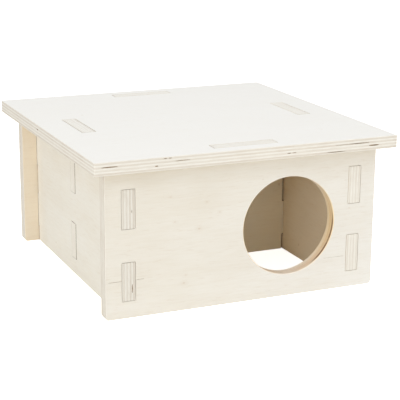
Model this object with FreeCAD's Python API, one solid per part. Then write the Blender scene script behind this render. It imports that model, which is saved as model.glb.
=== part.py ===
"""Two-room wooden hamster house: five slotted plywood walls under a lift-off roof.

Six flat plywood panels lock together with through tenons. The side walls' tenons pass
through the front and back walls, the partition's tenons pass through the side walls, and
a tenon on top of each outer wall passes through a slot in the roof, which lifts off.

Frame: the origin is the middle of the house on the surface it stands on, +X runs to the
right along the front wall, +Y to the back and +Z up. The entrance is in the front (-Y).
"""
import FreeCAD, Part
import math
import os

# ---- Driving dimensions, in millimetres ----
HOUSE_WIDTH = 227.0            # length of the front wall and of the back wall
HOUSE_DEPTH = 226.0            # from the front wall's outer face to the back wall's
WALL_HEIGHT = 114.6
WALL_THICKNESS = 10.5          # plywood sheet of the five walls
ROOF_THICKNESS = 10.0          # plywood sheet of the roof
ROOF_SIDE_OVERHANG = 11.5      # roof past the ends of the front and back walls
ROOF_END_OVERHANG = 12.0       # roof past the faces of the front and back walls
SIDE_WALL_INSET = 13.2         # side wall's outer face in from the front wall's end
PARTITION_SETBACK = 2.5        # partition's middle behind the middle of the house

TENON_LENGTH = 30.0            # wall tenons, measured along the height
LOWER_TENON_FOOT = 13.5        # lower tenon above the foot of its wall
UPPER_TENON_HEAD = 15.1        # upper tenon below the top of its wall
ROOF_TENON_LENGTH = 52.0       # tenons in the roof, measured along the wall

WALL_PLAY = 0.35               # gap all round a wall tenon in its mortise
ROOF_PLAY = 0.6                # gap all round a roof tenon in its slot, so the roof lifts off
SHOULDER_GAP = 1.2             # gap between a wall's shoulder and the wall it meets

ENTRANCE_DIAMETER = 78.6
ENTRANCE_SIDE_MARGIN = 12.5    # from the right wall's inner face to the entrance's rim
PASSAGE_DIAMETER = 78.6
PASSAGE_SIDE_MARGIN = 12.5     # from the left wall's inner face to the passage's rim
RIM_CHAMFER = 0.5              # sanded rim of the entrance and of the passage

WALL_CORNER_RADIUS = 3.0       # outer corners of the front and back walls
ROOF_CORNER_RADIUS = 1.0
MORTISE_CORNER_RADIUS = 0.8    # left by the cutter in each mortise and slot
EDGE_EASE = 0.3                # sanded arris round the rim of each panel's two faces

# ---- Places worked out from them ----
FRONT_INNER_Y = -HOUSE_DEPTH / 2 + WALL_THICKNESS
BACK_INNER_Y = HOUSE_DEPTH / 2 - WALL_THICKNESS
SIDE_OUTER_X = HOUSE_WIDTH / 2 - SIDE_WALL_INSET
SIDE_MIDDLE_X = SIDE_OUTER_X - WALL_THICKNESS / 2
SIDE_INNER_X = SIDE_OUTER_X - WALL_THICKNESS
ENTRANCE_X = SIDE_INNER_X - ENTRANCE_SIDE_MARGIN - ENTRANCE_DIAMETER / 2
PASSAGE_X = -SIDE_INNER_X + PASSAGE_SIDE_MARGIN + PASSAGE_DIAMETER / 2
END_WALL_MIDDLE_Y = HOUSE_DEPTH / 2 - WALL_THICKNESS / 2
WALL_MIDDLE_Z = WALL_HEIGHT / 2
LOWER_TENON_Z = LOWER_TENON_FOOT + TENON_LENGTH / 2
UPPER_TENON_Z = WALL_HEIGHT - UPPER_TENON_HEAD - TENON_LENGTH / 2
TENON_MIDDLES_Z = (LOWER_TENON_Z, UPPER_TENON_Z)

# A flat panel is drawn in X and Y and stood up by one of these turns.
ACROSS_HOUSE = FreeCAD.Rotation(FreeCAD.Vector(1, 0, 0), 90)       # length X, height Z
ALONG_HOUSE = FreeCAD.Rotation(FreeCAD.Vector(1, 1, 1), 120)       # length Y, height Z
LYING_FLAT = FreeCAD.Rotation()

TOLERANCE = 1e-6


# ---- Flat profiles ----
def rounded_wire(corners):
    """Close a wire through (x, y, radius) corners, each rounded by its own radius."""
    points = [FreeCAD.Vector(x, y, 0) for x, y, _ in corners]
    starts, ends, arcs = [], [], []
    for index, (_, _, radius) in enumerate(corners):
        corner = points[index]
        back = (points[index - 1] - corner).normalize()
        onward = (points[(index + 1) % len(points)] - corner).normalize()
        half_angle = back.getAngle(onward) / 2
        reach = radius / math.tan(half_angle)
        starts.append(corner + back * reach)
        ends.append(corner + onward * reach)
        if radius:
            bisector = (back + onward).normalize()
            middle = corner + bisector * (radius / math.sin(half_angle) - radius)
            arcs.append(Part.Arc(starts[-1], middle, ends[-1]).toShape())
        else:
            arcs.append(None)
    edges = []
    for index, arc in enumerate(arcs):
        if arc:
            edges.append(arc)
        following = starts[(index + 1) % len(starts)]
        edges.append(Part.LineSegment(ends[index], following).toShape())
    return Part.Wire(edges)


def rectangle_wire(middle_x, middle_y, length, height, radius):
    """A rectangle about its middle, with its four corners rounded."""
    left, right = middle_x - length / 2, middle_x + length / 2
    low, high = middle_y - height / 2, middle_y + height / 2
    sides = [(left, low), (right, low), (right, high), (left, high)]
    return rounded_wire([(x, y, radius) for x, y in sides])


def end_tenon_corners(shoulder, tip, upward):
    """Corners of the two tenons on one end of a wall, in order up or down that end."""
    corners = []
    for middle in TENON_MIDDLES_Z:
        low, high = middle - TENON_LENGTH / 2, middle + TENON_LENGTH / 2
        corners += [(shoulder, low, 0), (tip, low, 0), (tip, high, 0), (shoulder, high, 0)]
    return corners if upward else corners[::-1]


def top_tenon_corners():
    """Corners of the tenon on top of a wall, from right to left."""
    half = ROOF_TENON_LENGTH / 2
    tip = WALL_HEIGHT + ROOF_THICKNESS
    return [(half, WALL_HEIGHT, 0), (half, tip, 0), (-half, tip, 0), (-half, WALL_HEIGHT, 0)]


def mortise_wires(middle_x):
    """The two mortises, one above the other, that take the tenons of a wall's end."""
    width = WALL_THICKNESS + 2 * WALL_PLAY
    height = TENON_LENGTH + 2 * WALL_PLAY
    return [rectangle_wire(middle_x, middle, width, height, MORTISE_CORNER_RADIUS)
            for middle in TENON_MIDDLES_Z]


# ---- From a profile to a panel ----
def sheet(outline, openings, thickness):
    """Cut a panel and its openings from a sheet that lies on Z = 0."""
    depth = FreeCAD.Vector(0, 0, thickness)
    panel = Part.Face(outline).extrude(depth)
    panel = panel.makeChamfer(EDGE_EASE, rim_edges(panel, thickness))
    for opening in openings:
        panel = panel.cut(Part.Face(opening).extrude(depth))
    return panel


def rim_edges(panel, thickness):
    """The edges that lie in the panel's lower and upper faces."""
    return [edge for edge in panel.Edges
            if any(all(abs(vertex.Z - level) < TOLERANCE for vertex in edge.Vertexes)
                   for level in (0, thickness))]


def with_round_doorway(panel, middle_x, diameter, thickness):
    """Bore a doorway at mid-height and chamfer its rim on both faces."""
    radius = diameter / 2
    middle = FreeCAD.Vector(middle_x, WALL_MIDDLE_Z, 0)
    axis = FreeCAD.Vector(0, 0, 1)
    panel = panel.cut(Part.makeCylinder(radius, thickness, middle, axis))
    wide = radius + RIM_CHAMFER
    upper = middle + axis * (thickness - RIM_CHAMFER)
    panel = panel.cut(Part.makeCone(wide, radius, RIM_CHAMFER, middle, axis))
    return panel.cut(Part.makeCone(radius, wide, RIM_CHAMFER, upper, axis))


def placed(panel, turn, x, y, z):
    """Stand a flat panel up and move it to its place in the house."""
    panel.Placement = FreeCAD.Placement(FreeCAD.Vector(x, y, z), turn)
    return panel


# ---- The six panels ----
def end_wall_panel():
    """Front or back wall, still flat: a roof tenon and four mortises."""
    half = HOUSE_WIDTH / 2
    radius = WALL_CORNER_RADIUS
    base = [(-half, 0, radius), (half, 0, radius), (half, WALL_HEIGHT, radius)]
    outline = rounded_wire(base + top_tenon_corners() + [(-half, WALL_HEIGHT, radius)])
    mortises = mortise_wires(-SIDE_MIDDLE_X) + mortise_wires(SIDE_MIDDLE_X)
    return sheet(outline, mortises, WALL_THICKNESS)


def front_wall():
    """Front wall with the round entrance."""
    panel = with_round_doorway(
        end_wall_panel(), ENTRANCE_X, ENTRANCE_DIAMETER, WALL_THICKNESS)
    return placed(panel, ACROSS_HOUSE, 0, FRONT_INNER_Y, 0)


def back_wall():
    """Back wall, closed apart from its mortises."""
    return placed(end_wall_panel(), ACROSS_HOUSE, 0, HOUSE_DEPTH / 2, 0)


def side_wall(left_face_x):
    """Side wall: tenons at both ends and on top, and mortises for the partition."""
    tip = HOUSE_DEPTH / 2
    shoulder = BACK_INNER_Y - SHOULDER_GAP
    corners = [(-shoulder, 0, 0), (shoulder, 0, 0)]
    corners += end_tenon_corners(shoulder, tip, upward=True)
    corners += [(shoulder, WALL_HEIGHT, 0)] + top_tenon_corners() + [(-shoulder, WALL_HEIGHT, 0)]
    corners += end_tenon_corners(-shoulder, -tip, upward=False)
    panel = sheet(rounded_wire(corners), mortise_wires(PARTITION_SETBACK), WALL_THICKNESS)
    return placed(panel, ALONG_HOUSE, left_face_x, 0, 0)


def partition_wall():
    """Partition with the round passage, held by its tenons in both side walls."""
    tip = SIDE_OUTER_X
    shoulder = SIDE_INNER_X - SHOULDER_GAP
    corners = [(-shoulder, 0, 0), (shoulder, 0, 0)]
    corners += end_tenon_corners(shoulder, tip, upward=True)
    corners += [(shoulder, WALL_HEIGHT, 0), (-shoulder, WALL_HEIGHT, 0)]
    corners += end_tenon_corners(-shoulder, -tip, upward=False)
    panel = sheet(rounded_wire(corners), [], WALL_THICKNESS)
    panel = with_round_doorway(panel, PASSAGE_X, PASSAGE_DIAMETER, WALL_THICKNESS)
    back_face_y = PARTITION_SETBACK + WALL_THICKNESS / 2
    return placed(panel, ACROSS_HOUSE, 0, back_face_y, 0)


def roof_panel():
    """Roof with a slot over each outer wall for that wall's top tenon."""
    width = HOUSE_WIDTH + 2 * ROOF_SIDE_OVERHANG
    depth = HOUSE_DEPTH + 2 * ROOF_END_OVERHANG
    slot_length = ROOF_TENON_LENGTH + 2 * ROOF_PLAY
    slot_width = WALL_THICKNESS + 2 * ROOF_PLAY
    radius = MORTISE_CORNER_RADIUS
    slots = []
    for side in (-1, 1):
        slots.append(rectangle_wire(0, side * END_WALL_MIDDLE_Y, slot_length, slot_width, radius))
        slots.append(rectangle_wire(side * SIDE_MIDDLE_X, 0, slot_width, slot_length, radius))
    outline = rectangle_wire(0, 0, width, depth, ROOF_CORNER_RADIUS)
    return placed(sheet(outline, slots, ROOF_THICKNESS), LYING_FLAT, 0, 0, WALL_HEIGHT)


def build():
    """Return every panel of the house by its name."""
    return {
        "front_wall": front_wall(),
        "back_wall": back_wall(),
        "left_wall": side_wall(-SIDE_OUTER_X),
        "right_wall": side_wall(SIDE_INNER_X),
        "partition_wall": partition_wall(),
        "roof_panel": roof_panel(),
    }


def main():
    """Write one STEP file per panel into parts/."""
    os.makedirs("parts", exist_ok=True)
    for name, shape in build().items():
        shape.exportStep("parts/" + name + ".step")
        print(name, "valid" if shape.isValid() else "INVALID", len(shape.Solids), "solid")


main()
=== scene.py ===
"""Wooden hamster house: six slotted panels of pale plywood, cut and dressed one by one.

Each panel is made as the real one is: a sheet of nine plies is pressed, the waste round its
tenons and the mortises, slots and doorways are cut out of it, and it is stood in its place.
"""
import logging
import math
from dataclasses import dataclass, field
from enum import Enum

import bpy
from mathutils import Matrix, Quaternion, Vector


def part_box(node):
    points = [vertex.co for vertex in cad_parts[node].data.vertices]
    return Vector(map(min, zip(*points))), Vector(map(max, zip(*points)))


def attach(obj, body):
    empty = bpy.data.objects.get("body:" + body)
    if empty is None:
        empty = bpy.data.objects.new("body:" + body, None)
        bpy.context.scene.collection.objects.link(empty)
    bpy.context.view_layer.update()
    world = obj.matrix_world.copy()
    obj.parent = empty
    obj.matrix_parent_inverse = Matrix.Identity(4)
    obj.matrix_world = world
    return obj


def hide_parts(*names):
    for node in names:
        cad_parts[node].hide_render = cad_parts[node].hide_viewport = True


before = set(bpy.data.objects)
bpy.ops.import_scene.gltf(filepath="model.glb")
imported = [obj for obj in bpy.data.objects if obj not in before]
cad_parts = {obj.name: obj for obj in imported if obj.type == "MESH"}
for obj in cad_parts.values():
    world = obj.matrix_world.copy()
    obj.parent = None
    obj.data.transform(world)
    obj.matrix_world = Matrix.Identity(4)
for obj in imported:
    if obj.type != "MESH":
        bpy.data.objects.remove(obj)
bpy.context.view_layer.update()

log = logging.getLogger("hamster_house")

# Lengths are in metres, and a sheet is two face plies with seven inner ones between them.
MM = 0.001
FACE_PLY = 0.6 * MM
INNER_PLIES = 7

# A level is a height and how far an outline stands outwards there.
Colour = tuple[float, float, float]
Level = tuple[float, float]


class Axis(Enum):
    """Axis of the house that a sheet's thickness or its grain lies along."""

    X = 0
    Y = 1
    Z = 2


class Turn(Enum):
    """How a panel cut lying flat is stood up: where its length and its height then point."""

    ACROSS = "length X, height Z"
    ALONG = "length Y, height Z"
    FLAT = "length X, height Y"

    def matrix(self) -> Matrix:
        """Turn the flat panel's axes into the house's.

        Returns:
            The rotation.
        """
        if self is Turn.ACROSS:
            return Matrix.Rotation(math.pi / 2, 4, "X")
        if self is Turn.ALONG:
            return Matrix(((0, 0, 1, 0), (1, 0, 0, 0), (0, 1, 0, 0), (0, 0, 0, 1)))
        return Matrix.Identity(4)

    @property
    def through(self) -> Axis:
        """Axis through the sheet."""
        return {Turn.ACROSS: Axis.Y, Turn.ALONG: Axis.X, Turn.FLAT: Axis.Z}[self]


class Change(Enum):
    """What a solid does to the panel that it meets."""

    CUT = "DIFFERENCE"
    JOIN = "UNION"


class Finish(Enum):
    """Finishes of the faces and of the marks in them. The cut edges have their own."""

    CORE_GAP = "core_gap"
    # Painted shade: near-black faces in the narrow gaps at the partition's joints.
    SCORCH = "scorch"
    INNER_X = "inner_veneer_X"
    INNER_Y = "inner_veneer_Y"
    BACK = "back_veneer"
    SIDE = "side_veneer"
    FRONT = "front_veneer"
    REAR_INNER = "rear_inner_veneer"
    PARTITION = "partition_veneer"
    ROOF = "roof_veneer"


# ---- Sizes ----
def inner_ply(thickness: float) -> float:
    """Thickness of one ply between the face plies of a sheet this thick."""
    return (thickness - 2 * FACE_PLY) / INNER_PLIES


@dataclass(frozen=True)
class Joinery:
    """Tenons, mortises and sanded edges, which every panel shares, in metres."""

    tenon_length: float = 30 * MM
    lower_tenon_foot: float = 13.5 * MM
    upper_tenon_head: float = 15.1 * MM
    roof_tenon_length: float = 52 * MM
    roof_tenon_root: float = 5 * MM
    wall_play: float = 0.35 * MM
    roof_play: float = 0.6 * MM
    shoulder_gap: float = 1.2 * MM
    mortise_radius: float = 0.8 * MM
    wall_corner_radius: float = 3 * MM
    roof_corner_radius: float = 1 * MM
    arris: float = 0.3 * MM
    cut_arris: float = 0.15 * MM
    overcut: float = 2 * MM


@dataclass(frozen=True)
class Doorway:
    """A round way through a wall."""

    offset: float
    diameter: float = 78.6 * MM
    rim: float = 0.5 * MM
    sides: int = 144


@dataclass(frozen=True)
class CoreVoid:
    """A gap in one core ply at a panel's edge, in millimetres along it and in from it.

    The plies between the face plies count from 0, and the gap takes a share of its ply's height.
    """

    start: float
    end: float
    ply: int
    depth: float = 0.9
    share: float = 0.6


@dataclass(frozen=True)
class Groove:
    """A split in a face veneer, or a shallow strip that carries painted shade along a joint's gap,
    from corner to corner, in millimetres.
    """

    low: tuple[float, float]
    high: tuple[float, float]
    depth: float = 0.3


@dataclass(frozen=True)
class House:
    """Places of the panels, read from the frame, in metres."""

    front: tuple[Vector, Vector]
    side: tuple[Vector, Vector]
    partition: tuple[Vector, Vector]
    roof: tuple[Vector, Vector]

    @classmethod
    def from_frame(cls) -> "House":
        """Read the panels' boxes."""
        return cls(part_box("front_wall"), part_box("right_wall"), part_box("partition_wall"),
                   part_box("roof_panel"))

    @property
    def width(self) -> float:
        """Length of the front and back walls."""
        return self.front[1].x - self.front[0].x

    @property
    def depth(self) -> float:
        """From the front wall's outer face to the back wall's."""
        return -2 * self.front[0].y

    @property
    def wall_height(self) -> float:
        """From the floor to the underside of the roof."""
        return self.roof[0].z

    @property
    def top(self) -> float:
        """Top of the roof and of the tenons in it."""
        return self.roof[1].z

    @property
    def wall_thickness(self) -> float:
        """Sheet of the walls."""
        return self.front[1].y - self.front[0].y

    @property
    def side_middle(self) -> float:
        """Distance of a side wall's middle plane from the house's."""
        return (self.side[0].x + self.side[1].x) / 2

    @property
    def partition_middle(self) -> float:
        """Y of the partition's middle plane."""
        return (self.partition[0].y + self.partition[1].y) / 2


# ---- Finishes ----
class Nodes:
    """A material's node tree, built by short calls."""

    shift_shares = (1.0, 0.7, 1.3)

    def __init__(self, name: str) -> None:
        """Start a material with a Principled shader.

        Args:
            name: The material's name.
        """
        self.material = bpy.data.materials.new(name)
        self.material.use_nodes = True
        self.tree = self.material.node_tree
        self.shader = self.tree.nodes["Principled BSDF"]

    def add(self, kind: str, **settings: object) -> bpy.types.Node:
        """Add a node and set its properties.

        Args:
            kind: The node's type name.
            settings: Property values by name.

        Returns:
            The new node.
        """
        node = self.tree.nodes.new(kind)
        for name, value in settings.items():
            setattr(node, name, value)
        return node

    def link(self, source: bpy.types.NodeSocket, target: bpy.types.NodeSocket) -> None:
        """Join two sockets."""
        self.tree.links.new(source, target)

    def math(self, operation: str, first: object, second: object = 0.0,
             clamp: bool = False) -> bpy.types.NodeSocket:
        """Add a Math node.

        Args:
            operation: The Math node's operation.
            first: A socket or a number.
            second: A socket or a number.
            clamp: Whether the result is kept between 0 and 1.

        Returns:
            The node's output.
        """
        node = self.add("ShaderNodeMath", operation=operation, use_clamp=clamp)
        for socket, value in zip(node.inputs, (first, second)):
            if isinstance(value, bpy.types.NodeSocket):
                self.link(value, socket)
            else:
                socket.default_value = value
        return node.outputs[0]

    def plus(self, first: object, second: object, clamp: bool = False) -> bpy.types.NodeSocket:
        """Add two values."""
        return self.math("ADD", first, second, clamp)

    def minus(self, first: object, second: object, clamp: bool = False) -> bpy.types.NodeSocket:
        """Take the second value from the first."""
        return self.math("SUBTRACT", first, second, clamp)

    def times(self, first: object, second: object, clamp: bool = False) -> bpy.types.NodeSocket:
        """Multiply two values."""
        return self.math("MULTIPLY", first, second, clamp)

    def over(self, first: object, second: object) -> bpy.types.NodeSocket:
        """Divide the first value by the second."""
        return self.math("DIVIDE", first, second)

    def larger(self, first: object, second: object) -> bpy.types.NodeSocket:
        """Take the larger of two values."""
        return self.math("MAXIMUM", first, second)

    def mix(self, factor: object, first: object, second: object) -> bpy.types.NodeSocket:
        """Mix two colours.

        Args:
            factor: A socket or a number.
            first: Colour or socket at 0.
            second: Colour or socket at 1.

        Returns:
            The mixed colour.
        """
        node = self.add("ShaderNodeMix", data_type="RGBA")
        for socket, value in ((node.inputs[0], factor), (node.inputs[6], first),
                              (node.inputs[7], second)):
            if isinstance(value, bpy.types.NodeSocket):
                self.link(value, socket)
            elif isinstance(value, tuple):
                socket.default_value = (*value, 1)
            else:
                socket.default_value = value
        return node.outputs[2]

    def scaled(self, colour: bpy.types.NodeSocket,
               factor: bpy.types.NodeSocket) -> bpy.types.NodeSocket:
        """Lighten or darken a colour.

        Args:
            colour: The colour.
            factor: What it is multiplied by.

        Returns:
            The new colour.
        """
        node = self.add("ShaderNodeVectorMath", operation="SCALE")
        self.link(colour, node.inputs[0])
        self.link(factor, node.inputs["Scale"])
        return node.outputs[0]

    def position(self) -> bpy.types.NodeSocket:
        """Object coordinates, in metres."""
        return self.add("ShaderNodeTexCoord").outputs["Object"]

    def place(self, axis: Axis) -> bpy.types.NodeSocket:
        """Split off one object coordinate.

        Args:
            axis: Its axis.

        Returns:
            The coordinate, in metres.
        """
        split = self.add("ShaderNodeSeparateXYZ")
        self.link(self.position(), split.inputs[0])
        return split.outputs[axis.value]

    def noise(self, scale: tuple[float, float, float], shift: float,
              detail: float = 2.0) -> bpy.types.NodeSocket:
        """Noise with its own number of features per metre along each axis.

        Args:
            scale: Features per metre along X, Y and Z.
            shift: Moves the pattern, so that two noises differ.
            detail: Octaves.

        Returns:
            Values about 0.5.
        """
        mapping = self.add("ShaderNodeMapping")
        mapping.inputs["Scale"].default_value = scale
        mapping.inputs["Location"].default_value = [shift * share for share in self.shift_shares]
        self.link(self.position(), mapping.inputs["Vector"])
        texture = self.add("ShaderNodeTexNoise")
        texture.inputs["Scale"].default_value = 1.0
        texture.inputs["Detail"].default_value = detail
        self.link(mapping.outputs["Vector"], texture.inputs["Vector"])
        return texture.outputs["Fac"]

    def ramp(self, value: bpy.types.NodeSocket, low: float, high: float,
             first: float = 0.0, last: float = 1.0) -> bpy.types.NodeSocket:
        """Go smoothly from one number to another, and stay there.

        Args:
            value: What the change depends on.
            low: Value where it starts.
            high: Value where it ends.
            first: Number up to the start.
            last: Number from the end on.

        Returns:
            The number at each point.
        """
        node = self.add("ShaderNodeMapRange", clamp=True, interpolation_type="SMOOTHSTEP")
        for name, number in (("From Min", low), ("From Max", high),
                             ("To Min", first), ("To Max", last)):
            node.inputs[name].default_value = number
        self.link(value, node.inputs["Value"])
        return node.outputs["Result"]

    def paint(self, colour: bpy.types.NodeSocket, roughness: float) -> None:
        """Give the shader its colour and its roughness, from 0 for a mirror to 1."""
        self.link(colour, self.shader.inputs["Base Color"])
        self.shader.inputs["Roughness"].default_value = roughness

    def bump(self, height: bpy.types.NodeSocket, distance: float) -> None:
        """Raise the surface.

        Args:
            height: The pattern, mostly from 0 to 1.
            distance: Height of the pattern where it is 1, in metres.
        """
        node = self.add("ShaderNodeBump")
        node.inputs["Strength"].default_value = 1.0
        node.inputs["Distance"].default_value = distance
        self.link(height, node.inputs["Height"])
        self.link(node.outputs["Normal"], self.shader.inputs["Normal"])


def stretched(axis: Axis, along: float, across: float) -> tuple[float, float, float]:
    """Set one axis of a pattern apart from the other two.

    Args:
        axis: That axis.
        along: Features per metre along it.
        across: Features per metre along the other two.

    Returns:
        Features per metre along X, Y and Z.
    """
    scale = [across, across, across]
    scale[axis.value] = along
    return tuple(scale)


@dataclass(frozen=True)
class Layer:
    """One layer of a wood's pattern: noise that shows from low and shows most from high.

    It has so many features per metre along an axis and across it. Shift sets it apart from the
    other layers, and detail is its octaves.
    """

    along: float
    across: float
    shift: float
    detail: float
    low: float
    high: float
    most: float = 1.0

    def noise(self, nodes: Nodes, axis: Axis, seed: float) -> bpy.types.NodeSocket:
        """Draw the noise, drawn out along an axis."""
        return nodes.noise(stretched(axis, self.along, self.across), seed + self.shift, self.detail)

    def strength(self, nodes: Nodes, noise: bpy.types.NodeSocket) -> bpy.types.NodeSocket:
        """Turn the layer's noise into its strength."""
        return nodes.ramp(noise, self.low, self.high, last=self.most)

    def draw(self, nodes: Nodes, axis: Axis, seed: float) -> bpy.types.NodeSocket:
        """Draw the layer's strength, from 0 to its most."""
        return self.strength(nodes, self.noise(nodes, axis, seed))


@dataclass(frozen=True)
class Knot:
    """A pin knot in an upright veneer, in millimetres: a dark pin in a faint ring.

    The pin and the ring each fade out between two distances, given in the knot's radii.
    """

    along: float
    height: float
    radius: float
    squash: float = 0.6
    pin_fade: tuple[float, float] = (0.2, 1.0)
    pin_strength: float = 0.36
    ring_fade: tuple[float, float] = (0.8, 3.2)
    ring_strength: float = 0.09

    def draw(self, nodes: Nodes) -> bpy.types.NodeSocket:
        """Draw the knot.

        Args:
            nodes: The material's nodes.

        Returns:
            The knot's strength.
        """
        flat = nodes.add("ShaderNodeVectorMath", operation="MULTIPLY")
        flat.inputs[1].default_value = (self.squash, 0, 1)
        nodes.link(nodes.position(), flat.inputs[0])
        away = nodes.add("ShaderNodeVectorMath", operation="DISTANCE")
        away.inputs[1].default_value = (self.squash * self.along * MM, 0, self.height * MM)
        nodes.link(flat.outputs[0], away.inputs[0])
        radii = nodes.over(away.outputs["Value"], self.radius * MM)
        return nodes.larger(nodes.ramp(radii, *self.pin_fade, first=self.pin_strength, last=0.0),
                            nodes.ramp(radii, *self.ring_fade, first=self.ring_strength, last=0.0))


@dataclass(frozen=True)
class PaintedLightRamp:
    """Painted light and shade: paler colours of a veneer towards its better lit side, and how their
    share grows.

    The share is given at the middle of the floor line, with its rise per metre along the grain
    and upwards.
    """

    pale: Colour
    streak: Colour
    share: float
    along: float
    upward: float = 0.0

    def draw(self, nodes: Nodes, grain: Axis) -> bpy.types.NodeSocket:
        """Work out the share of the paler colours.

        Args:
            nodes: The material's nodes.
            grain: Axis of the grain.

        Returns:
            The share, 0 to 1.
        """
        level = nodes.plus(nodes.times(nodes.place(grain), self.along), self.share)
        return nodes.plus(nodes.times(nodes.place(Axis.Z), self.upward), level, clamp=True)


@dataclass(frozen=True)
class FaceVeneer:
    """Peeled, sanded veneer on a sheet's face, which may carry painted light: paler towards one
    side.
    """

    finish: Finish
    grain: Axis
    pale: Colour
    streak: Colour
    painted_light: PaintedLightRamp | None = None
    fleck: Colour = (0.52, 0.37, 0.22)
    figure: float = 1.0
    knots: tuple[Knot, ...] = ()
    seed: float = 0.0
    broad: Layer = Layer(along=10, across=55, shift=0, detail=3, low=0.32, high=0.7, most=0.4)
    lines: Layer = Layer(along=55, across=620, shift=3, detail=3, low=0.36, high=0.72, most=0.33)
    clouds: Layer = Layer(along=22, across=22, shift=11, detail=2, low=0.3, high=0.7, most=0.3)
    flecks: Layer = Layer(along=120, across=950, shift=7, detail=1, low=0.6, high=0.76, most=0.1)
    pores: Layer = Layer(along=260, across=2600, shift=9, detail=1, low=0.6, high=0.8, most=0.06)
    pins: Layer = Layer(along=170, across=260, shift=17, detail=0, low=0.85, high=0.93, most=0.3)
    relief: float = 0.05 * MM
    pore_relief: float = 0.7
    roughness: float = 0.62
    gloss: float = 0.35

    def material(self) -> bpy.types.Material:
        """Build the material.

        Returns:
            Pale wood with soft figure, broken grain lines, short flecks and small knots.
        """
        nodes = Nodes(self.finish.value)
        lines = self.lines.noise(nodes, self.grain, self.seed)
        pores = self.pores.noise(nodes, self.grain, self.seed)
        tone = nodes.plus(self.broad.draw(nodes, self.grain, self.seed),
                          self.lines.strength(nodes, lines))
        tone = nodes.plus(tone, self.clouds.draw(nodes, self.grain, self.seed))
        tone = nodes.times(tone, self.figure, clamp=True)
        pale, streak = self.pale, self.streak
        # Painted light and shade: the colours turn paler towards the better lit side of the face.
        if self.painted_light:
            share = self.painted_light.draw(nodes, self.grain)
            pale = nodes.mix(share, pale, self.painted_light.pale)
            streak = nodes.mix(share, streak, self.painted_light.streak)
        colour = nodes.mix(tone, pale, streak)
        dashes = nodes.plus(self.flecks.draw(nodes, self.grain, self.seed),
                            self.pores.strength(nodes, pores))
        colour = nodes.mix(nodes.times(dashes, self.figure), colour, self.fleck)
        marks = self.pins.draw(nodes, self.grain, self.seed)
        for knot in self.knots:
            marks = nodes.larger(marks, knot.draw(nodes))
        nodes.paint(nodes.mix(marks, colour, self.fleck), self.roughness)
        nodes.shader.inputs["Specular IOR Level"].default_value = self.gloss
        nodes.bump(nodes.plus(lines, nodes.times(pores, self.pore_relief)), self.relief)
        return nodes.material


@dataclass(frozen=True)
class PlyBands:
    """Where the plies of a nine-ply sheet lie across its cut edge."""

    through: Axis
    low: float
    thickness: float
    wander: float = 0.35 * MM
    wander_scale: float = 20
    crispness: float = 1.8
    seam_from: float = 0.7

    def draw(self, nodes: Nodes, seed: float) -> tuple[bpy.types.NodeSocket, ...]:
        """Lay out the bands.

        Args:
            nodes: The material's nodes.
            seed: Moves the patterns.

        Returns:
            Share of cross ply, closeness to a glue line, and a tone for each ply, all 0 to 1.
        """
        drift = nodes.minus(nodes.noise((self.wander_scale,) * 3, seed), 0.5)
        depth = nodes.minus(nodes.place(self.through), self.low + FACE_PLY)
        depth = nodes.plus(depth, nodes.times(drift, self.wander))
        plies = nodes.over(depth, inner_ply(self.thickness))
        wave = nodes.math("SINE", nodes.times(plies, math.pi))
        cross = nodes.plus(nodes.times(wave, self.crispness), 0.5, clamp=True)
        seam = nodes.minus(1.0, nodes.math("ABSOLUTE", wave), clamp=True)
        strip = nodes.add("ShaderNodeTexWhiteNoise", noise_dimensions="1D")
        nodes.link(nodes.plus(nodes.math("FLOOR", plies), seed), strip.inputs["W"])
        return cross, nodes.ramp(seam, self.seam_from, 1.0), strip.outputs["Value"]


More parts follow.
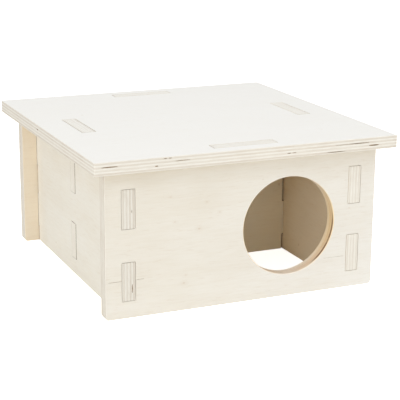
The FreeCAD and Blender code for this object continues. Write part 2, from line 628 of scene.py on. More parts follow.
@dataclass(frozen=True)
class PlyEdge:
    """Cut edge of a sheet: long grain and end grain in turn, with faint glue lines.

    The edge may carry painted light: it is painted lighter towards the house's right, between two
    places along X.
    """

    name: str
    bands: PlyBands
    tone: float = 1.0
    contrast: float = 1.0
    painted_light_gain: float = 0.0
    far_from: float = -90 * MM
    far_to: float = 60 * MM
    long_grain: Colour = (0.868, 0.835, 0.755)
    end_grain: Colour = (0.738, 0.683, 0.59)
    glue: Colour = (0.47, 0.34, 0.24)
    seed: float = 0.0
    fibres: Layer = Layer(along=1700, across=160, shift=5, detail=2, low=0.38, high=0.72, most=0.5)
    pores: Layer = Layer(along=1500, across=1500, shift=9, detail=1, low=0.45, high=0.75, most=0.12)
    patches: Layer = Layer(along=45, across=45, shift=13, detail=2, low=0.45, high=0.75, most=0.22)
    wear: tuple[float, float] = (0.35, 0.7)
    wear_strength: float = 0.2
    ply_shade: float = 0.12
    cross_share: float = 0.6
    cross_spread: float = 0.45
    relief: float = 0.08 * MM
    roughness: float = 0.8
    gloss: float = 0.25

    def material(self) -> bpy.types.Material:
        """Build the material.

        Returns:
            Plies in bands across the sheet, uneven in tone from ply to ply and along the edge.
        """
        nodes = Nodes(self.name)
        through = self.bands.through
        cross, seam, strip = self.bands.draw(nodes, self.seed)
        fibres = self.fibres.noise(nodes, through, self.seed)
        pores = self.pores.noise(nodes, through, self.seed)
        patches = self.patches.noise(nodes, through, self.seed)
        pale, dark, glue = (tuple(self.tone * part for part in colour)
                            for colour in (self.long_grain, self.end_grain, self.glue))
        long_grain = nodes.mix(self.fibres.strength(nodes, fibres), pale, dark)
        shade = nodes.plus(self.pores.strength(nodes, pores), self.patches.strength(nodes, patches))
        shade = nodes.plus(shade, nodes.times(strip, self.ply_shade), clamp=True)
        end_grain = nodes.mix(shade, dark, glue)
        share = nodes.plus(nodes.times(strip, self.cross_spread * self.contrast),
                           self.cross_share * self.contrast)
        colour = nodes.mix(nodes.times(cross, share, clamp=True), long_grain, end_grain)
        worn = nodes.ramp(patches, *self.wear, last=self.wear_strength * self.contrast)
        colour = nodes.mix(nodes.times(seam, worn), colour, glue)
        # Painted light: the colour is scaled lighter towards the house's right.
        far = nodes.ramp(nodes.place(Axis.X), self.far_from, self.far_to,
                         first=1.0, last=1.0 + self.painted_light_gain)
        nodes.paint(nodes.scaled(colour, far), self.roughness)
        nodes.shader.inputs["Specular IOR Level"].default_value = self.gloss
        nodes.bump(nodes.plus(fibres, nodes.times(pores, cross)), self.relief)
        return nodes.material


@dataclass(frozen=True)
class HeatMark:
    """Stretch of a round rim that the cutter dwelt on and warmed, behind the front veneer.

    Its first and last angle are counted from the right, upwards, as seen from the front.
    """

    first: float
    last: float
    reach: float
    strength: float = 1.0
    soft: float = math.radians(20)
    veneer_edge: float = 0.3 * MM

    def draw(self, nodes: Nodes, angle: bpy.types.NodeSocket,
             depth: bpy.types.NodeSocket) -> bpy.types.NodeSocket:
        """Draw the mark.

        Args:
            nodes: The material's nodes.
            angle: Direction from the doorway's middle.
            depth: How far in behind the front veneer.

        Returns:
            The heat's strength.
        """
        start = nodes.ramp(angle, self.first, self.first + self.soft)
        end = nodes.ramp(angle, self.last - self.soft, self.last, first=1.0, last=0.0)
        inside = nodes.ramp(depth, 0.0, self.veneer_edge)
        fading = nodes.ramp(depth, self.reach / 2, self.reach, first=self.strength, last=0.0)
        return nodes.times(nodes.times(start, end), nodes.times(inside, fading))


@dataclass(frozen=True)
class DoorRim:
    """Round cut edge of a doorway: golden at its sides, paler above, below and at both faces.

    The paler stretches near both faces fade out between two distances from the front and from the
    rear face.
    """

    name: str
    bands: PlyBands
    middle: tuple[float, float]
    radius: float
    pale: Colour = (0.955, 0.875, 0.76)
    golden: Colour = (0.975, 0.765, 0.445)
    tan: Colour = (0.74, 0.49, 0.28)
    brown: Colour = (0.30, 0.16, 0.08)
    toast: HeatMark = HeatMark(math.radians(-92), math.radians(-4), 6.2 * MM, strength=0.24)
    scorch: HeatMark = HeatMark(math.radians(-64), math.radians(14), 2.6 * MM)
    scorch_break: tuple[float, float] = (0.3, 0.45)
    front_pale_band: tuple[float, float] = (0.8 * MM, 1.4 * MM)
    rear_pale_band: tuple[float, float] = (2.6 * MM, 4.6 * MM)
    pale_band_share: float = 0.9
    pale_band_tint: float = 0.3
    fibres: Layer = Layer(along=60, across=60, shift=3, detail=3, low=0.3, high=0.7)
    fibre_shade: float = 0.36
    glue_shade: float = 0.2
    relief: float = 0.1 * MM
    roughness: float = 0.6
    seed: float = 5.0

    def material(self) -> bpy.types.Material:
        """Build the material.

        Returns:
            Plies that turn from end grain to long grain round the rim, with a scorched stretch.
        """
        nodes = Nodes(self.name)
        cross, seam, strip = self.bands.draw(nodes, self.seed)
        right = nodes.minus(nodes.place(Axis.X), self.middle[0])
        up = nodes.minus(nodes.place(Axis.Z), self.middle[1])
        aside = nodes.over(right, self.radius)
        aside = nodes.times(aside, aside, clamp=True)
        fibres = self.fibres.noise(nodes, Axis.Y, self.seed)
        ground = nodes.mix(aside, self.pale, self.golden)
        end_grain = nodes.math("ABSOLUTE", nodes.minus(cross, aside))
        uneven = nodes.plus(strip, self.fibres.strength(nodes, fibres))
        shade = nodes.times(end_grain, nodes.times(uneven, self.fibre_shade), clamp=True)
        colour = nodes.mix(shade, ground, self.tan)
        colour = nodes.mix(nodes.times(seam, self.glue_shade), colour, self.tan)
        colour = nodes.mix(self.clean(nodes), colour,
                           nodes.mix(self.pale_band_tint, ground, self.pale))
        angle = nodes.math("ARCTAN2", up, right)
        behind = nodes.minus(nodes.place(Axis.Y), self.bands.low + FACE_PLY)
        colour = nodes.mix(self.toast.draw(nodes, angle, behind), colour, self.tan)
        scorch = nodes.times(self.scorch.draw(nodes, angle, behind),
                             nodes.ramp(fibres, *self.scorch_break), clamp=True)
        nodes.paint(nodes.mix(scorch, colour, self.brown), self.roughness)
        nodes.bump(fibres, self.relief)
        return nodes.material

    def clean(self, nodes: Nodes) -> bpy.types.NodeSocket:
        """Find where the rim turns paler: near the front face and near the rear one.

        Args:
            nodes: The material's nodes.

        Returns:
            Share of the paler colour.
        """
        depth = nodes.place(Axis.Y)
        front, rear = self.bands.low, self.bands.low + self.bands.thickness
        near_rear = nodes.ramp(depth, rear - self.rear_pale_band[1], rear - self.rear_pale_band[0],
                               last=self.pale_band_share)
        near_front = nodes.ramp(depth, front + self.front_pale_band[0], front + self.front_pale_band[1],
                                first=self.pale_band_share, last=0.0)
        return nodes.larger(near_rear, near_front)


@dataclass(frozen=True)
class DarkCut:
    """Dark inside of a gap between core plies, or painted shade on the faces of a narrow joint gap.
    """

    finish: Finish
    dark: Colour
    light: Colour
    grain: Layer = Layer(along=700, across=700, shift=2, detail=2, low=0.35, high=0.75)
    roughness: float = 0.95

    def material(self) -> bpy.types.Material:
        """Build the material.

        Returns:
            Rough brown wood and glue.
        """
        nodes = Nodes(self.finish.value)
        colour = nodes.mix(self.grain.draw(nodes, Axis.Z, 0.0), self.dark, self.light)
        nodes.paint(colour, self.roughness)
        return nodes.material


def face_finishes() -> tuple[DarkCut | FaceVeneer, ...]:
    """List the finishes of the faces and of the marks in them, with their colours.

    Returns:
        The dark cuts first, then the veneers.
    """
    wall = ((0.855, 0.825, 0.745), (0.808, 0.757, 0.655))
    inner = ((0.9, 0.788, 0.603), (0.86, 0.736, 0.542))
    front_knots = (Knot(-38.3, 63.5, 1.1), Knot(-32.2, 83.7, 0.7), Knot(-58.2, 70.9, 0.7),
                   Knot(-50.7, 21.9, 1.0), Knot(-49.1, 28.1, 0.5), Knot(-61.4, 90.6, 0.5),
                   Knot(-21.4, 74.7, 0.6))
    return (
        DarkCut(Finish.CORE_GAP, (0.30, 0.21, 0.13), (0.48, 0.36, 0.24)),
        # Painted shade: near-black brown for the narrow gaps at the partition's joints.
        DarkCut(Finish.SCORCH, (0.105, 0.065, 0.035), (0.185, 0.12, 0.07)),
        FaceVeneer(Finish.INNER_X, Axis.X, *inner, seed=2.0),
        FaceVeneer(Finish.INNER_Y, Axis.Y, *inner, seed=6.0),
        FaceVeneer(Finish.BACK, Axis.X, *wall),
        # Painted light: the side walls' veneer turns paler near their rear ends, by the back wall.
        FaceVeneer(Finish.SIDE, Axis.Y, *wall, seed=4.0, painted_light=PaintedLightRamp(
            (0.945, 0.92, 0.85), (0.90, 0.855, 0.76), share=-7.42, along=83.3)),
        # Painted light: the front veneer turns paler towards the house's right and towards the
        # floor.
        FaceVeneer(Finish.FRONT, Axis.X, (0.802, 0.762, 0.678), (0.752, 0.698, 0.594),
                   knots=front_knots, seed=21.0, painted_light=PaintedLightRamp(
                       (0.881, 0.858, 0.802), (0.834, 0.79, 0.708),
                       share=0.628, along=3.0, upward=-3.9)),
        FaceVeneer(Finish.REAR_INNER, Axis.X, (0.812, 0.722, 0.578), (0.774, 0.669, 0.52),
                   seed=41.0),
        # Painted shade: the partition's veneer turns darker towards its corner with the right wall.
        FaceVeneer(Finish.PARTITION, Axis.X, (0.845, 0.768, 0.6), (0.808, 0.718, 0.54),
                   seed=2.0, painted_light=PaintedLightRamp(
                       (0.94, 0.885, 0.73), (0.898, 0.827, 0.656), share=3.07, along=-35.7)),
        FaceVeneer(Finish.ROOF, Axis.X, (0.93, 0.92, 0.885), (0.915, 0.90, 0.855),
                   figure=0.6, seed=31.0),
    )


# ---- Cutting ----
def deselect() -> None:
    """Leave nothing selected."""
    for thing in bpy.context.selected_objects:
        thing.select_set(False)


def only(thing: bpy.types.Object) -> None:
    """Select one object and make it active.

    Args:
        thing: The object.
    """
    deselect()
    thing.select_set(True)
    bpy.context.view_layer.objects.active = thing


@dataclass(frozen=True)
class Outline:
    """A flat outline about its middle: a disc where sides is set, and otherwise a rectangle.

    The radius rounds the rectangle's corners.
    """

    middle: tuple[float, float]
    size: tuple[float, float]
    radius: float = 0.0
    corner_steps: int = 8
    sides: int = 0

    @classmethod
    def between(cls, low: tuple[float, float], high: tuple[float, float],
                radius: float = 0.0) -> "Outline":
        """A rectangle from its lowest to its highest corner."""
        middle = ((low[0] + high[0]) / 2, (low[1] + high[1]) / 2)
        return cls(middle, (high[0] - low[0], high[1] - low[1]), radius)

    def start(self, level: float, offset: float) -> bpy.types.Object:
        """Add the outline as one face, in edit mode and selected.

        Args:
            level: Height of the face.
            offset: How far the outline stands outside its size.

        Returns:
            The new object.
        """
        deselect()
        place = (*self.middle, level)
        if self.sides:
            bpy.ops.mesh.primitive_circle_add(vertices=self.sides, fill_type="NGON",
                                              radius=self.size[0] / 2 + offset, location=place)
            bpy.ops.object.mode_set(mode="EDIT")
            bpy.ops.mesh.select_all(action="SELECT")
            return bpy.context.object
        bpy.ops.mesh.primitive_plane_add(size=1, location=place)
        bpy.ops.object.mode_set(mode="EDIT")
        bpy.ops.mesh.select_all(action="SELECT")
        bpy.ops.transform.resize(value=(*(side + 2 * offset for side in self.size), 1),
                                 center_override=place)
        if self.radius:
            bpy.ops.mesh.bevel(offset=self.radius + offset / 2, segments=self.corner_steps,
                               affect="VERTICES")
            bpy.ops.mesh.select_all(action="SELECT")
        return bpy.context.object

    def grown(self, before: float, after: float) -> tuple[float, float, float]:
        """Scale that takes the outline from one offset to another."""
        factors = [(side + 2 * after) / (side + 2 * before) for side in self.size]
        return (*factors, 1)


def prism(outline: Outline, levels: list[Level]) -> bpy.types.Object:
    """Extrude an outline upwards, level by level.

    Args:
        outline: The outline.
        levels: Height and outward offset of the outline at each level, in order.

    Returns:
        A closed solid with its place in its mesh.
    """
    height, offset = levels[0]
    solid = outline.start(height, offset)
    for next_height, next_offset in levels[1:]:
        step = (0, 0, next_height - height)
        bpy.ops.mesh.extrude_region_move(TRANSFORM_OT_translate={"value": step})
        if next_offset != offset:
            bpy.ops.transform.resize(value=outline.grown(offset, next_offset),
                                     center_override=(*outline.middle, next_height))
        height, offset = next_height, next_offset
    bpy.ops.mesh.select_all(action="SELECT")
    bpy.ops.mesh.normals_make_consistent(inside=False)
    bpy.ops.object.mode_set(mode="OBJECT")
    bpy.ops.object.transform_apply(location=True, rotation=True, scale=True)
    return solid


@dataclass(frozen=True)
class Sheet:
    """Nine-ply sheet, lying flat with its lower face at height 0.

    A seam is the fine groove at a glue line, and it keeps clear of the arrises.
    """

    thickness: float
    arris: float
    seam: float = 0.07 * MM
    seam_depth: float = 0.04 * MM
    seam_clearance: float = 1.05
    flat: float = 0.01 * MM

    @property
    def ply(self) -> float:
        """Thickness of an inner ply."""
        return inner_ply(self.thickness)

    def levels(self, inward: int, arris: float) -> list[Level]:
        """Levels of a cut edge: sanded arrises and a fine groove at each glue line.

        Args:
            inward: -1 for the outside of a panel, 1 for a cut through it.
            arris: Width of the sanded edge.

        Returns:
            Heights and offsets from the lower to the upper face.
        """
        # The arris is a quarter round, drawn through its point at 45 degrees.
        soft = arris * (1 - math.sqrt(0.5))
        rim = [(0.0, arris), (soft, soft), (arris, 0.0)]
        levels = [(height, inward * offset) for height, offset in rim]
        for seam in range(INNER_PLIES + 1):
            middle = FACE_PLY + seam * self.ply
            groove = inward * self.seam_depth
            lowest = max(middle - self.seam, arris * self.seam_clearance)
            highest = min(middle + self.seam, self.thickness - arris * self.seam_clearance)
            if lowest < middle < highest:
                levels += [(lowest, 0.0), (middle, groove), (highest, 0.0)]
        levels += [(self.thickness - height, inward * offset) for height, offset in rim[::-1]]
        return levels

    def stock(self, outline: Outline) -> bpy.types.Object:
        """Press a sheet of this outline."""
        return prism(outline, self.levels(-1, self.arris))

    def waste(self, outline: Outline, overcut: float, rim: float) -> bpy.types.Object:
        """Make the solid that a cut takes out of the sheet.

        Args:
            outline: The cut's outline.
            overcut: How far the solid stands out of both faces.
            rim: Width of the sanded edge.

        Returns:
            The cutter.
        """
        levels = self.levels(1, rim)
        below = (-overcut, levels[0][1])
        above = (self.thickness + overcut, levels[-1][1])
        return prism(outline, [below, *levels, above])


class Panel:
    """One plywood panel, cut lying flat and then stood in its place."""

    smooth_below = math.radians(14)
    sliver = 0.001 * MM
    void_segments = 20
    void_rings = 8
    void_shift = 0.02 * MM

    def __init__(self, name: str, sheet: Sheet, stock: Outline, edge: bpy.types.Material) -> None:
        """Press the sheet.

        Args:
            name: The panel's name.
            sheet: Its sheet.
            stock: Outline that the sheet is first cut to.
            edge: Finish of the cut edges.
        """
        self.name = name
        self.sheet = sheet
        self.edge = edge
        self.solid = sheet.stock(stock)
        self.solid.name = name
        self.solid.data.name = name
        self.solid.data.materials.append(edge)

    def combine(self, tool: bpy.types.Object, change: Change) -> None:
        """Take a solid out of the panel or join it on, and remove it.

        Args:
            tool: The solid.
            change: What it does to the panel.
        """
        only(self.solid)
        modifier = self.solid.modifiers.new("change", "BOOLEAN")
        modifier.operation = change.value
        modifier.solver = "EXACT"
        modifier.material_mode = "TRANSFER"
        modifier.object = tool
        bpy.ops.object.modifier_apply(modifier=modifier.name)
        bpy.data.objects.remove(tool)

    def join(self, outline: Outline) -> None:
        """Add a tongue of the same sheet.

        Args:
            outline: The tongue's outline, which reaches into the panel.
        """
        tongue = self.sheet.stock(outline)
        tongue.data.materials.append(self.edge)
        self.combine(tongue, Change.JOIN)

    def cut(self, outline: Outline, overcut: float, rim: float,
            finish: bpy.types.Material | None = None) -> None:
        """Cut through the sheet.

        Args:
            outline: The cut's outline.
            overcut: How far the cutter stands out of both faces.
            rim: Width of the sanded edge.
            finish: Finish of the cut, where it isn't the panel's edge.
        """
        cutter = self.sheet.waste(outline, overcut, rim)
        cutter.data.materials.append(finish or self.edge)
        self.combine(cutter, Change.CUT)

    def leave_out(self, void: CoreVoid, edge: float, along: Axis,
                  finish: bpy.types.Material) -> None:
        """Open a gap in a core ply at the panel's lower or left edge.

        The cutter's middle stands a hair outside, so that none of its corners lies on the edge.

        Args:
            void: The gap.
            edge: Place of that edge.
            along: Direction of the edge in the flat panel.
            finish: Finish of the gap's inside.
        """
        level = FACE_PLY + (void.ply + 0.5) * self.sheet.ply
        place = ((void.start + void.end) / 2 * MM, edge - self.void_shift)
        half = ((void.end - void.start) / 2 * MM, void.depth * MM)
        if along is Axis.Y:
            place, half = place[::-1], half[::-1]
        deselect()
        bpy.ops.mesh.primitive_uv_sphere_add(segments=self.void_segments,
                                             ring_count=self.void_rings, radius=1,
                                             location=(*place, level),
                                             scale=(*half, void.share * self.sheet.ply / 2))
        bpy.ops.object.transform_apply(location=True, rotation=True, scale=True)
        gap = bpy.context.object
        gap.data.materials.append(finish)
        self.combine(gap, Change.CUT)

    def mark(self, groove: Groove, level: float, finish: bpy.types.Material) -> None:
        """Cut a groove into one of the sheet's faces.

        Args:
            groove: The groove.
            level: Height of the face.
            finish: Finish of the groove's inside.
        """
        low, high = (tuple(part * MM for part in corner) for corner in (groove.low, groove.high))
        depth = groove.depth * MM
        slit = prism(Outline.between(low, high), [(level - depth, 0.0), (level + depth, 0.0)])
        slit.data.materials.append(finish)
        self.combine(slit, Change.CUT)

    def clean(self) -> None:
        """Close the slivers that the cuts leave, with every face a triangle first."""
        only(self.solid)
        bpy.ops.object.mode_set(mode="EDIT")
        bpy.ops.mesh.select_all(action="SELECT")
        bpy.ops.mesh.quads_convert_to_tris(quad_method="BEAUTY", ngon_method="BEAUTY")
        bpy.ops.mesh.remove_doubles(threshold=self.sliver)
        bpy.ops.mesh.select_all(action="SELECT")
        bpy.ops.mesh.dissolve_degenerate(threshold=self.sliver)
        bpy.ops.object.mode_set(mode="OBJECT")

    def stand(self, turn: Turn, place: tuple[float, float, float]) -> None:
        """Turn the cut panel up, move it to its place and keep both in its mesh.

        Args:
            turn: How the panel stands.
            place: Where the flat panel's origin goes.
        """
        self.clean()
        self.solid.matrix_world = Matrix.Translation(place) @ turn.matrix()
        bpy.ops.object.transform_apply(location=True, rotation=True, scale=True)

    def dress(self, turn: Turn, low_face: bpy.types.Material,
              high_face: bpy.types.Material) -> None:
        """Veneer the sheet's two faces and smooth its round edges.

        Args:
            turn: How the panel stands.
            low_face: Finish of the face towards the low end of the axis through the sheet.
            high_face: Finish of the opposite face.
        """
        mesh = self.solid.data
        places = [vertex.co[turn.through.value] for vertex in mesh.vertices]
        for level, veneer in ((min(places), low_face), (max(places), high_face)):
            if veneer.name not in mesh.materials:
                mesh.materials.append(veneer)
            for face in mesh.polygons:
                if all(abs(places[corner] - level) < self.sheet.flat for corner in face.vertices):
                    face.material_index = mesh.materials.find(veneer.name)
        only(self.solid)
        bpy.ops.object.shade_smooth_by_angle(angle=self.smooth_below)

    def cap(self, finish: bpy.types.Material) -> None:
        """Finish the top of the panel's roof tenon.

        Args:
            finish: Its finish.
        """
        mesh = self.solid.data
        mesh.materials.append(finish)
        top = max(vertex.co.z for vertex in mesh.vertices)
        for face in mesh.polygons:
            if all(top - mesh.vertices[corner].co.z < self.sheet.flat for corner in face.vertices):
                face.material_index = mesh.materials.find(finish.name)

    def settle(self, node: str, body: str) -> None:
        """Hand the panel to the frame in place of its plain node.

        Args:
            node: The node.
            body: The body that the panel moves with.
        """
        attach(self.solid, body)
        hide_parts(node)
        log.info("%s: %d faces", self.name, len(self.solid.data.polygons))


# ---- The studio ----
@dataclass(frozen=True)
class Softbox:
    """A square soft light."""

    name: str
    place: tuple[float, float, float]
    watts: float
    side: float = 1.2
    aim: tuple[float, float, float] = (0, 0, 0.06)

    def hang(self) -> None:
        """Put the light up."""
        data = bpy.data.lights.new(self.name, "AREA")
        data.shape = "SQUARE"
        data.size = self.side
        data.energy = self.watts
        lamp = bpy.data.objects.new(self.name, data)
        bpy.context.scene.collection.objects.link(lamp)
        lamp.location = self.place
        look = Vector(self.aim) - Vector(self.place)
        lamp.rotation_euler = look.to_track_quat("-Z", "Y").to_euler()


@dataclass
class Studio:
    """Camera, light, floor and backdrop."""

    eye: tuple[float, float, float] = (-0.40656, -0.95486, 0.34085)
    azimuth: float = math.radians(23.65)
    elevation: float = math.radians(15.51)
    roll: float = math.radians(0.41)
    lens: float = 114.71
    sensor: float = 36
    clip: tuple[float, float] = (0.01, 50)
    world_level: float = 0.775
    softboxes: tuple[Softbox, ...] = (
        Softbox("low_key", (-1.3, -1.6, 0.9), 5.0),
        Softbox("side_key", (-1.369, -1.66, 0.457), 4.6, side=0.3),
        Softbox("high_key", (-0.2, -1.4, 2.0), 7.6),
        Softbox("left_fill", (-1.8, -0.6, 1.4), 2.2),
        Softbox("top_fill", (-0.3, 0.2, 2.4), 1.8))
    diffuse_bounces: int = 12
    floor_side: float = 12.0
    floor_colour: Colour = (0.90, 0.90, 0.89)
    floor_roughness: float = 0.9
    floor_glow: float = 0.82

    def camera(self) -> None:
        """Place the camera."""
        data = bpy.data.cameras.new("camera")
        camera = bpy.data.objects.new("camera", data)
        bpy.context.scene.collection.objects.link(camera)
        look = Vector((math.sin(self.azimuth) * math.cos(self.elevation),
                       math.cos(self.azimuth) * math.cos(self.elevation),
                       -math.sin(self.elevation)))
        camera.rotation_mode = "QUATERNION"
        camera.location = self.eye
        camera.rotation_quaternion = (look.to_track_quat("-Z", "Y")
                                      @ Quaternion((0, 0, 1), self.roll))
        data.lens = self.lens
        data.sensor_width = self.sensor
        data.clip_start, data.clip_end = self.clip
        bpy.context.scene.camera = camera

    def world(self) -> None:
        """Make even white surroundings, seen as white and lighting at their own level."""
        world = bpy.data.worlds.new("studio")
        bpy.context.scene.world = world
        world.use_nodes = True
        tree = world.node_tree
        background = tree.nodes["Background"]
        background.inputs["Color"].default_value = (1, 1, 1, 1)
        path = tree.nodes.new("ShaderNodeLightPath")
        level = tree.nodes.new("ShaderNodeMapRange")
        level.inputs["To Min"].default_value = self.world_level
        level.inputs["To Max"].default_value = 1.0
        tree.links.new(path.outputs["Is Camera Ray"], level.inputs["Value"])
        tree.links.new(level.outputs["Result"], background.inputs["Strength"])

    def floor(self) -> None:
        """Lay a white floor that keeps a faint shadow."""
        deselect()
        bpy.ops.mesh.primitive_plane_add(size=self.floor_side, location=(0, 0, 0))
        floor = bpy.context.object
        floor.name = "floor"
        nodes = Nodes("white_floor")
        nodes.shader.inputs["Base Color"].default_value = (*self.floor_colour, 1)
        nodes.shader.inputs["Roughness"].default_value = self.floor_roughness
        output = nodes.tree.nodes["Material Output"]
        path = nodes.add("ShaderNodeLightPath")
        glow = nodes.add("ShaderNodeEmission")
        glow.inputs["Color"].default_value = (1, 1, 1, 1)
        seen = nodes.times(path.outputs["Is Camera Ray"], self.floor_glow)
        nodes.link(seen, glow.inputs["Strength"])
        both = nodes.add("ShaderNodeAddShader")
        nodes.link(nodes.shader.outputs[0], both.inputs[0])
        nodes.link(glow.outputs[0], both.inputs[1])
        nodes.link(both.outputs[0], output.inputs["Surface"])
        floor.data.materials.append(nodes.material)

    def build(self) -> None:
        """Set up everything that isn't the house, with bounces enough to light its rooms."""
        self.camera()
        self.world()
        for softbox in self.softboxes:
            softbox.hang()
        self.floor()
        bpy.context.scene.cycles.diffuse_bounces = self.diffuse_bounces
        view = bpy.context.scene.view_settings
        view.view_transform = "Standard"


# ---- The house ----
@dataclass
class Workshop:
    """What all the panels share: the house's places, the joinery and the finishes."""

    house: House
    joinery: Joinery = field(default_factory=Joinery)
    materials: dict[Finish, bpy.types.Material] = field(default_factory=dict)

    def __post_init__(self) -> None:
        """Make the finishes."""
        for look in face_finishes():
            self.materials[look.finish] = look.material()

    @property
    def wall_sheet(self) -> Sheet:
        """Sheet of the walls."""
        return Sheet(self.house.wall_thickness, self.joinery.arris)

    @property
    def tenon_spans(self) -> list[tuple[float, float]]:
        """Heights of the lower and of the upper tenon.

        Returns:
            Lowest and highest point of each.
        """
        low = self.joinery.lower_tenon_foot
        high = self.house.wall_height - self.joinery.upper_tenon_head
        return [(low, low + self.joinery.tenon_length), (high - self.joinery.tenon_length, high)]

    def bands(self, name: str, through: Axis) -> PlyBands:
        """Plies of one panel."""
        low, high = (corner[through.value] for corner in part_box(name))
        return PlyBands(through, low, high - low)

    def edge(self, name: str, through: Axis, tone: float = 1.0, contrast: float = 1.0,
             painted_light_gain: float = 0.0) -> bpy.types.Material:
        """Make the cut-edge finish of one panel, with the length of its name as the seed.

        Args:
            name: The panel's node.
            through: Axis through the sheet.
            tone: Lightness against the usual edge.
            contrast: Contrast of the plies against the usual edge.
            painted_light_gain: How much lighter the edge is at the house's right end.

        Returns:
            The finish.
        """
        return PlyEdge(f"{name}_edge", self.bands(name, through), tone, contrast, painted_light_gain,
                       seed=len(name)).material()

    def tip(self, name: str, through: Axis) -> bpy.types.Material:
        """Make the paler finish of a roof tenon's end, sanded flush with the roof.

        Args:
            name: The panel's node.
            through: Axis through the sheet.

        Returns:
            The finish.
        """
        return PlyEdge(f"{name}_tip", self.bands(name, through), contrast=0.5,
                       long_grain=(0.915, 0.90, 0.845), end_grain=(0.86, 0.83, 0.765),
                       seed=len(name) + 1).material()

    def mortises(self, panel: Panel, middle: float,
                 finish: bpy.types.Material | None = None) -> None:
        """Cut the two mortises of one wall.

        Args:
            panel: The panel that they go into.
            middle: Place of that wall's middle plane along the panel.
            finish: Finish of the cuts, where it isn't the panel's edge.
        """
        play = self.joinery.wall_play
        half = self.house.wall_thickness / 2 + play
        for low, high in self.tenon_spans:
            panel.cut(Outline.between((middle - half, low - play), (middle + half, high + play),
                                      self.joinery.mortise_radius),
                      self.joinery.overcut, self.joinery.cut_arris, finish)

    def end_waste(self, panel: Panel, shoulder: float, tip: float,
                  finish: bpy.types.Material | None = None) -> None:
        """Cut away what lies below, between and above the two tenons of both ends.

        Args:
            panel: The panel.
            shoulder: Distance of the tenons' shoulders from the panel's middle.
            tip: Distance of their tips.
            finish: Finish of the cuts, where it isn't the panel's edge.
        """
        past = self.joinery.overcut
        (low, lower_top), (upper_foot, high) = self.tenon_spans
        spans = [(-past, low), (lower_top, upper_foot), (high, self.house.top + past)]
        for side in (-1, 1):
            ends = sorted((side * shoulder, side * (tip + past)))
            for bottom, top in spans:
                panel.cut(Outline.between((ends[0], bottom), (ends[1], top)), past,
                          self.joinery.cut_arris, finish)

    def top_waste(self, panel: Panel, tip: float) -> None:
        """Cut away what lies beside the roof tenon.

        Args:
            panel: The panel.
            tip: Distance of its ends from its middle.
        """
        half = self.joinery.roof_tenon_length / 2
        past = self.joinery.overcut
        for side in (-1, 1):
            ends = sorted((side * half, side * (tip + 2 * past)))
            panel.cut(Outline.between((ends[0], self.house.wall_height),
                                      (ends[1], self.house.top + 2 * past)), past,
                      self.joinery.cut_arris)

    def doorway(self, panel: Panel, node: str, way: Doorway) -> None:
        """Cut a round way at the wall's mid-height.

        Args:
            panel: The panel.
            node: Its node.
            way: The way.
        """
        middle = (way.offset, self.house.wall_height / 2)
        rim = DoorRim(f"{node}_rim", self.bands(node, Axis.Y), middle, way.diameter / 2)
        panel.cut(Outline(middle, (way.diameter, way.diameter), sides=way.sides),
                  self.joinery.overcut, way.rim, rim.material())


@dataclass
class EndWall:
    """Front or back wall: four mortises, a roof tenon and, in front, the doorway."""

    shop: Workshop
    node: str
    front_face: Finish
    rear_face: Finish
    doorway: Doorway | None = None
    splits: tuple[Groove, ...] = ()
    edge_tone: float = 0.97
    edge_contrast: float = 1.25

    def build(self) -> None:
        """Cut, stand and dress the wall."""
        shop, house, joinery = self.shop, self.shop.house, self.shop.joinery
        half = house.width / 2
        tenon_half = joinery.roof_tenon_length / 2
        panel = Panel(self.node + "_ply", shop.wall_sheet,
                      Outline.between((-half, 0), (half, house.wall_height),
                                      joinery.wall_corner_radius),
                      shop.edge(self.node, Axis.Y, self.edge_tone, self.edge_contrast))
        panel.join(Outline.between((-tenon_half, house.wall_height - joinery.roof_tenon_root),
                                   (tenon_half, house.top)))
        shop.mortises(panel, -house.side_middle)
        shop.mortises(panel, house.side_middle)
        if self.doorway:
            shop.doorway(panel, self.node, self.doorway)
        for split in self.splits:
            panel.mark(split, panel.sheet.thickness, shop.materials[Finish.CORE_GAP])
        panel.stand(Turn.ACROSS, (0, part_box(self.node)[1].y, 0))
        panel.dress(Turn.ACROSS, shop.materials[self.front_face], shop.materials[self.rear_face])
        panel.cap(shop.tip(self.node, Axis.Y))
        panel.settle(self.node, "walls")


@dataclass
class SideWall:
    """Left or right wall: tenons at both ends and on top, and the partition's mortises."""

    shop: Workshop
    node: str
    left_face: Finish
    right_face: Finish
    edge_tone: float
    edge_contrast: float
    mortise_finish: Finish | None = None
    voids: tuple[CoreVoid, ...] = ()
    # Painted shade: dark strips on the left face along the gaps beside the partition's tenons.
    gap_shade_strips: tuple[Groove, ...] = ()

    def build(self) -> None:
        """Cut, stand and dress the wall."""
        shop, house = self.shop, self.shop.house
        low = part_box(self.node)[0]
        tip = house.depth / 2
        shoulder = tip - house.wall_thickness - shop.joinery.shoulder_gap
        panel = Panel(self.node + "_ply", shop.wall_sheet,
                      Outline.between((-tip, 0), (tip, house.top)),
                      shop.edge(self.node, Axis.X, self.edge_tone, self.edge_contrast))
        shop.top_waste(panel, tip)
        shop.end_waste(panel, shoulder, tip)
        shop.mortises(panel, house.partition_middle, shop.materials.get(self.mortise_finish))
        for void in self.voids:
            panel.leave_out(void, -tip, Axis.Y, shop.materials[Finish.CORE_GAP])
        # Painted shade: near-black strips where the gaps beside the partition's tenons are.
        for gap_shade_strip in self.gap_shade_strips:
            panel.mark(gap_shade_strip, 0.0, shop.materials[Finish.SCORCH])
        panel.stand(Turn.ALONG, (low.x, 0, 0))
        panel.dress(Turn.ALONG, shop.materials[self.left_face], shop.materials[self.right_face])
        panel.cap(shop.tip(self.node, Axis.X))
        panel.settle(self.node, "walls")


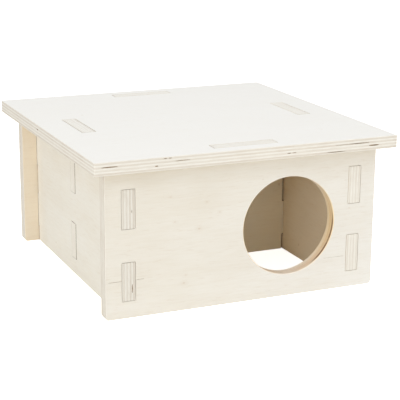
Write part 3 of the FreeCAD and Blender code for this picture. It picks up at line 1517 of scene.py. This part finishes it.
@dataclass
class Partition:
    """Inner wall with the round passage, tenoned into both side walls."""

    shop: Workshop
    doorway: Doorway
    node: str = "partition_wall"
    edge_contrast: float = 0.4

    def build(self) -> None:
        """Cut, stand and dress the wall."""
        shop, house = self.shop, self.shop.house
        low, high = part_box(self.node)
        shoulder = house.side[0].x - shop.joinery.shoulder_gap
        panel = Panel(self.node + "_ply", shop.wall_sheet,
                      Outline.between((low.x, 0), (high.x, high.z)),
                      shop.edge(self.node, Axis.Y, contrast=self.edge_contrast))
        # Painted shade: the partition's shoulders and tenon sides are near-black, for the gaps at
        # the side walls.
        shop.end_waste(panel, shoulder, high.x, shop.materials[Finish.SCORCH])
        shop.doorway(panel, self.node, self.doorway)
        panel.stand(Turn.ACROSS, (0, high.y, 0))
        panel.dress(Turn.ACROSS, shop.materials[Finish.PARTITION], shop.materials[Finish.INNER_X])
        panel.settle(self.node, "walls")


@dataclass
class Roof:
    """Square lift-off roof with a slot over each outer wall."""

    shop: Workshop
    node: str = "roof_panel"
    front_voids: tuple[CoreVoid, ...] = (
        CoreVoid(-120, -107, 4, 0.7, 0.6), CoreVoid(-72, -69.2, 6, 0.5, 0.4),
        CoreVoid(-68, -65.6, 6, 0.5, 0.4), CoreVoid(-78.8, -76.2, 2, 0.7, 0.7),
        CoreVoid(-63, -51, 4, 0.5, 0.35), CoreVoid(28.4, 31.8, 2, 0.6, 0.45),
        CoreVoid(32.6, 36.2, 2, 0.6, 0.4), CoreVoid(80.5, 100, 4, share=0.45),
        CoreVoid(69, 84, 4, 0.5, 0.2), CoreVoid(99.5, 108.5, 2, share=0.8),
        CoreVoid(62, 79, 0, share=0.38))
    left_voids: tuple[CoreVoid, ...] = (CoreVoid(12.6, 16.8, 4, share=0.7),)
    edge_tone: float = 0.968
    # Painted light: the roof's edge is painted lighter towards the house's right.
    edge_painted_light_gain: float = 0.055

    def build(self) -> None:
        """Cut, stand and dress the roof."""
        shop, house, joinery = self.shop, self.shop.house, self.shop.joinery
        low, high = house.roof
        panel = Panel(self.node + "_ply", Sheet(high.z - low.z, joinery.arris),
                      Outline.between((low.x, low.y), (high.x, high.y),
                                      joinery.roof_corner_radius),
                      shop.edge(self.node, Axis.Z, self.edge_tone, painted_light_gain=self.edge_painted_light_gain))
        long = joinery.roof_tenon_length + 2 * joinery.roof_play
        wide = house.wall_thickness + 2 * joinery.roof_play
        end_middle = house.depth / 2 - house.wall_thickness / 2
        for side in (-1, 1):
            for middle, size in (((0, side * end_middle), (long, wide)),
                                 ((side * house.side_middle, 0), (wide, long))):
                panel.cut(Outline(middle, size, joinery.mortise_radius), joinery.overcut,
                          joinery.cut_arris)
        for void in self.front_voids:
            panel.leave_out(void, low.y, Axis.X, shop.materials[Finish.CORE_GAP])
        for void in self.left_voids:
            panel.leave_out(void, low.x, Axis.Y, shop.materials[Finish.CORE_GAP])
        panel.stand(Turn.FLAT, (0, 0, low.z))
        panel.dress(Turn.FLAT, shop.materials[Finish.INNER_X], shop.materials[Finish.ROOF])
        panel.settle(self.node, "roof")


def main() -> None:
    """Build the studio and the house, panel by panel."""
    logging.basicConfig(level=logging.INFO)
    Studio().build()
    shop = Workshop(House.from_frame())
    panels = [
        EndWall(shop, "front_wall", Finish.FRONT, Finish.INNER_X, Doorway(38 * MM), (
            Groove((-111, 29.5), (-100.9, 29.72)), Groove((-89.1, 29.5), (-83.2, 29.7)),
            Groove((69.5, 26.5), (87.5, 26.63)))),
        EndWall(shop, "back_wall", Finish.REAR_INNER, Finish.BACK),
        SideWall(shop, "left_wall", Finish.SIDE, Finish.INNER_Y,
                 edge_tone=0.92, edge_contrast=0.8,
                 voids=(CoreVoid(19.5, 26.6, 5, 0.6, 0.55), CoreVoid(81.4, 83.8, 5, 0.5, 0.3)),
                 # Painted shade: dark strips beside the near side of the partition's tenon ends.
                 gap_shade_strips=(Groove((-4.5, 13.4), (-3.0, 43.6), 0.12),
                        Groove((-4.5, 69.4), (-3.0, 99.6), 0.12))),
        SideWall(shop, "right_wall", Finish.INNER_Y, Finish.SIDE,
                 # Painted shade: the right wall's mortises are near-black, for the gaps round the
                 # partition's tenons.
                 edge_tone=1.008, edge_contrast=0.6, mortise_finish=Finish.SCORCH),
        Partition(shop, Doorway(-38 * MM)),
        Roof(shop),
    ]
    for panel in panels:
        panel.build()


if __name__ == "__main__":
    main()
